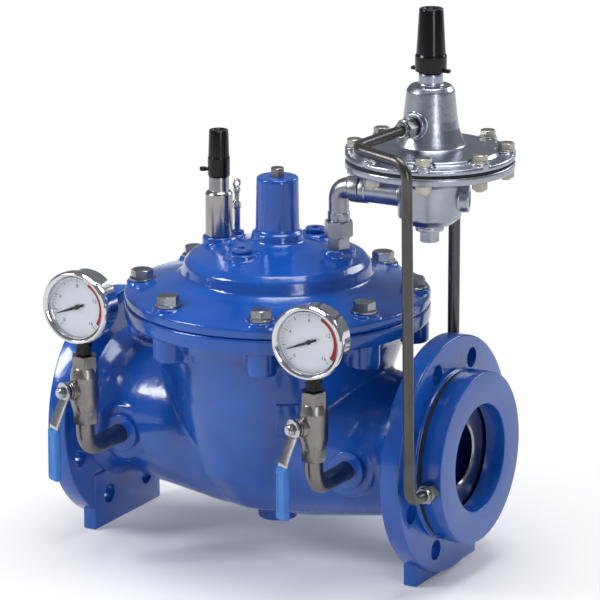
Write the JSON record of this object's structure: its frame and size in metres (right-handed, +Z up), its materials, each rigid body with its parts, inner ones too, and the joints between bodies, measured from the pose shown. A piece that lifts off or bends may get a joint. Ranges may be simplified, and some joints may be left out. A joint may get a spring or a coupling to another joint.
{
  "type": "diaphragm control valve",
  "caption": "Flanged globe control valve with a diaphragm cover, a spring-loaded pilot, sensing tubes, an orifice ring and two tapped pressure gauges with lever cocks.",
  "frame": {"origin": "middle of the bounding box on the plane under the feet", "axes": "+X along the pipe towards the outlet, +Z up, the gauges and levers face -Y"},
  "size_m": [0.4174, 0.3096, 0.5238],
  "materials": {
    "blue_paint": "glossy blue epoxy coat on cast iron",
    "zinc_steel": "zinc plated",
    "stainless": "machined",
    "pilot_casting": "satin cast metal",
    "bronze": "machined",
    "brass": "machined",
    "rubber": "matte",
    "black_cap": "gloss black",
    "dark_tube": "dark plated",
    "nickel_brass": "nickel plated",
    "blue_grip": "moulded sleeve",
    "polished_steel": "polished",
    "gauge_glass": "clear",
    "black_pointer": "satin black"
  },
  "bodies": {
    "casing": {"cover": "blue_paint", "cover_bolt_1": "zinc_steel", "cover_bolt_2": "zinc_steel", "cover_bolt_3": "zinc_steel", "cover_bolt_4": "zinc_steel", "cover_bolt_5": "zinc_steel", "cover_bolt_6": "zinc_steel", "cover_bolt_7": "zinc_steel", "cover_bolt_8": "zinc_steel", "drain_plug": "blue_paint", "flange_gasket": "rubber", "front_port_plug": "blue_paint", "inlet_cock_body": "nickel_brass", "inlet_gauge_case": "polished_steel", "inlet_gauge_window": "gauge_glass", "inlet_pipe": "dark_tube", "main_diaphragm": "rubber", "main_spring": "stainless", "orifice_plate": "stainless", "orifice_ring": "blue_paint", "outlet_cock_body": "nickel_brass", "outlet_gauge_case": "polished_steel", "outlet_gauge_window": "gauge_glass", "outlet_pipe": "dark_tube", "pilot_body": "pilot_casting", "pilot_bonnet": "pilot_casting", "pilot_bottom_plug": "pilot_casting", "pilot_diaphragm": "rubber", "pilot_elbow": "stainless", "pilot_lock_nut": "stainless", "pilot_spring": "stainless", "rear_port_plug": "blue_paint", "rear_tube": "dark_tube", "seat_ring": "bronze", "sense_tube": "dark_tube", "sense_tube_bell_nut": "stainless", "sense_tube_ring_nut": "stainless", "speed_valve_body": "stainless", "tower_plug": "zinc_steel", "valve_body": "blue_paint", "vent_cock": "stainless"},
    "main_lift": {"main_stem": "stainless", "disc_holder": "zinc_steel", "seat_disc": "rubber", "diaphragm_washer": "zinc_steel", "stem_nut": "zinc_steel"},
    "speed_cap": {"speed_valve_cap": "black_cap"},
    "speed_needle": {"speed_valve_needle": "stainless"},
    "pilot_cap": {"pilot_cap": "black_cap"},
    "pilot_spring_seat": {"pilot_spring_seat": "brass"},
    "pilot_adjuster": {"pilot_adjusting_screw": "stainless"},
    "pilot_poppet": {"pilot_poppet": "brass"},
    "inlet_lever": {"inlet_cock_ball": "stainless", "inlet_lever": "stainless", "inlet_lever_grip": "blue_grip"},
    "inlet_pointer": {"inlet_gauge_pointer": "black_pointer"},
    "outlet_lever": {"outlet_cock_ball": "stainless", "outlet_lever": "stainless", "outlet_lever_grip": "blue_grip"},
    "outlet_pointer": {"outlet_gauge_pointer": "black_pointer"}
  },
  "joints": [
    {"name": "main_lift", "type": "slide", "parent": "casing", "child": "main_lift", "axis": [0, 0, 1], "range_m": [0, 0.024], "stiffness_N_per_m": 800, "deforming": ["main_spring", "main_diaphragm"]},
    {"name": "speed_cap_off", "type": "slide", "parent": "casing", "child": "speed_cap", "axis": [0, 0, 1], "range_m": [0, 0.03]},
    {"name": "speed_needle_turn", "type": "hinge", "parent": "casing", "child": "speed_needle", "pos_m": [-0.0831, 0.01232, 0.319], "axis": [0, 0, 1], "range_deg": [0, 1440]},
    {"name": "pilot_cap_off", "type": "slide", "parent": "casing", "child": "pilot_cap", "axis": [0, 0, 1], "range_m": [0, 0.04]},
    {"name": "spring_seat_feed", "type": "slide", "parent": "casing", "child": "pilot_spring_seat", "axis": [0, 0, -1], "range_m": [0, 0.006], "deforming": ["pilot_spring"]},
    {"name": "adjuster_turn", "type": "hinge", "parent": "pilot_spring_seat", "child": "pilot_adjuster", "pos_m": [0.1313, 0.02432, 0.453], "axis": [0, 0, -1], "range_deg": [0, 1440]},
    {"name": "poppet_lift", "type": "slide", "parent": "casing", "child": "pilot_poppet", "axis": [0, 0, 1], "range_m": [0, 0.0025], "deforming": ["pilot_diaphragm"]},
    {"name": "inlet_lever_turn", "type": "hinge", "parent": "casing", "child": "inlet_lever", "pos_m": [-0.1512, -0.11918, 0.164], "axis": [-0.4384, -0.8988, 0], "range_deg": [0, 90]},
    {"name": "inlet_pointer_turn", "type": "hinge", "parent": "casing", "child": "inlet_pointer", "pos_m": [-0.1512, -0.11918, 0.2445], "axis": [0, 1, 0], "range_deg": [-24, 246]},
    {"name": "outlet_lever_turn", "type": "hinge", "parent": "casing", "child": "outlet_lever", "pos_m": [0.0898, -0.11918, 0.164], "axis": [-0.4384, -0.8988, 0], "range_deg": [0, 90]},
    {"name": "outlet_pointer_turn", "type": "hinge", "parent": "casing", "child": "outlet_pointer", "pos_m": [0.0898, -0.11918, 0.2445], "axis": [-0.1045, 0.9945, 0], "range_deg": [-24, 246]}
  ],
  "couplings": [
    {"joint": "adjuster_turn", "follows": "spring_seat_feed", "rad_per_m": 4188.8}
  ]
}
